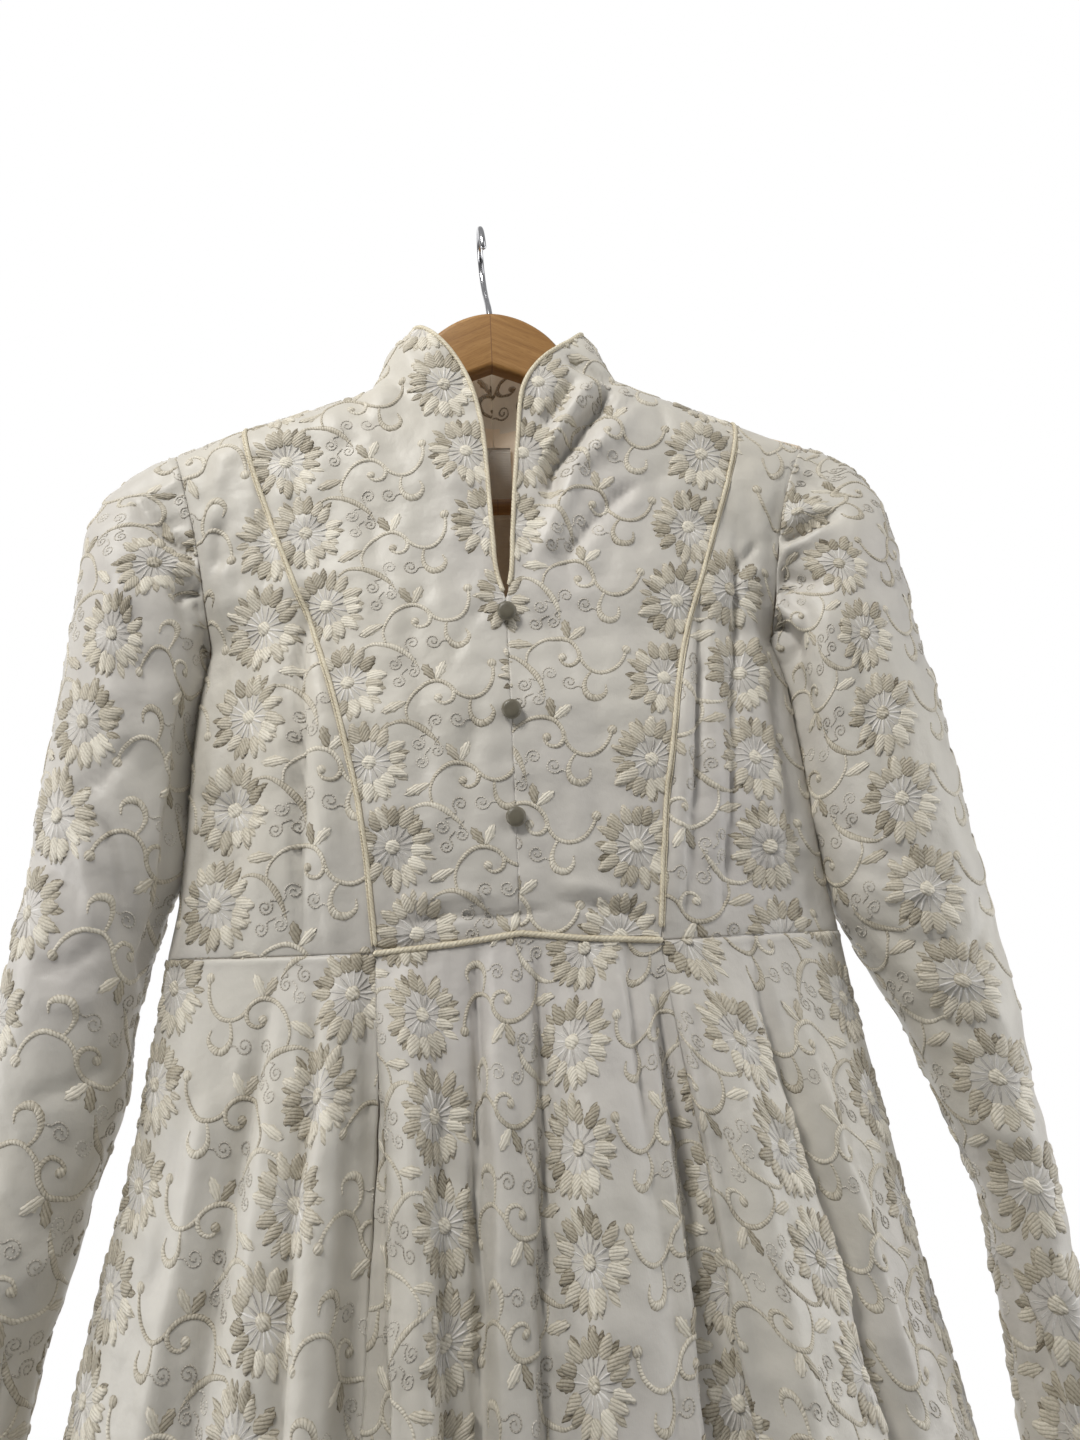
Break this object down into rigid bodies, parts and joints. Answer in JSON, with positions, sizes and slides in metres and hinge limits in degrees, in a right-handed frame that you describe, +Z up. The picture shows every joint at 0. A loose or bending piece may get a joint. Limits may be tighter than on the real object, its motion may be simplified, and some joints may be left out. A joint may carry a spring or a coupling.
{
  "type": "wedding dress on a wooden hanger",
  "caption": "Long-sleeved, floor-length wedding dress with a stand collar, raised waist and flared skirt, hanging empty on a wooden hanger.",
  "frame": {"origin": "where a rail runs under the inner top of the hanger's hook, above the middle of the hanger", "axes": "+Z up, the front of the dress towards -Y, +X to the right seen from the front"},
  "size_m": [0.74, 0.349, 1.497],
  "materials": {
    "satin": "embroidered satin",
    "cord": "satin cord",
    "covered_button": "satin covered",
    "tape": "woven tape",
    "steel": "bright plated",
    "wood": "satin varnish"
  },
  "bodies": {
    "dress": {"bib_left": "satin", "bib_right": "satin", "side_front_left": "satin", "side_front_right": "satin", "back_left": "satin", "back_right": "satin", "sleeve_left": "satin", "sleeve_right": "satin", "skirt_front_centre": "satin", "skirt_front_left": "satin", "skirt_front_right": "satin", "skirt_back_left": "satin", "skirt_back_right": "satin", "piping_bib_left": "cord", "piping_bib_right": "cord", "piping_neck_left": "cord", "piping_neck_right": "cord", "piping_waist": "cord", "button_top": "covered_button", "button_middle": "covered_button", "button_bottom": "covered_button", "zip_tape": "tape", "zip_slider": "steel", "hanger_wood": "wood", "hanger_bar": "wood", "hanger_hook": "steel"},
    "pull_tab": {"zip_pull": "steel"}
  },
  "joints": [
    {"name": "pull_tab_hinge", "type": "hinge", "parent": "dress", "child": "pull_tab", "pos_m": [0, 0.0323, -0.1371], "axis": [1, 0, 0], "range_deg": [0, 160]}
  ]
}
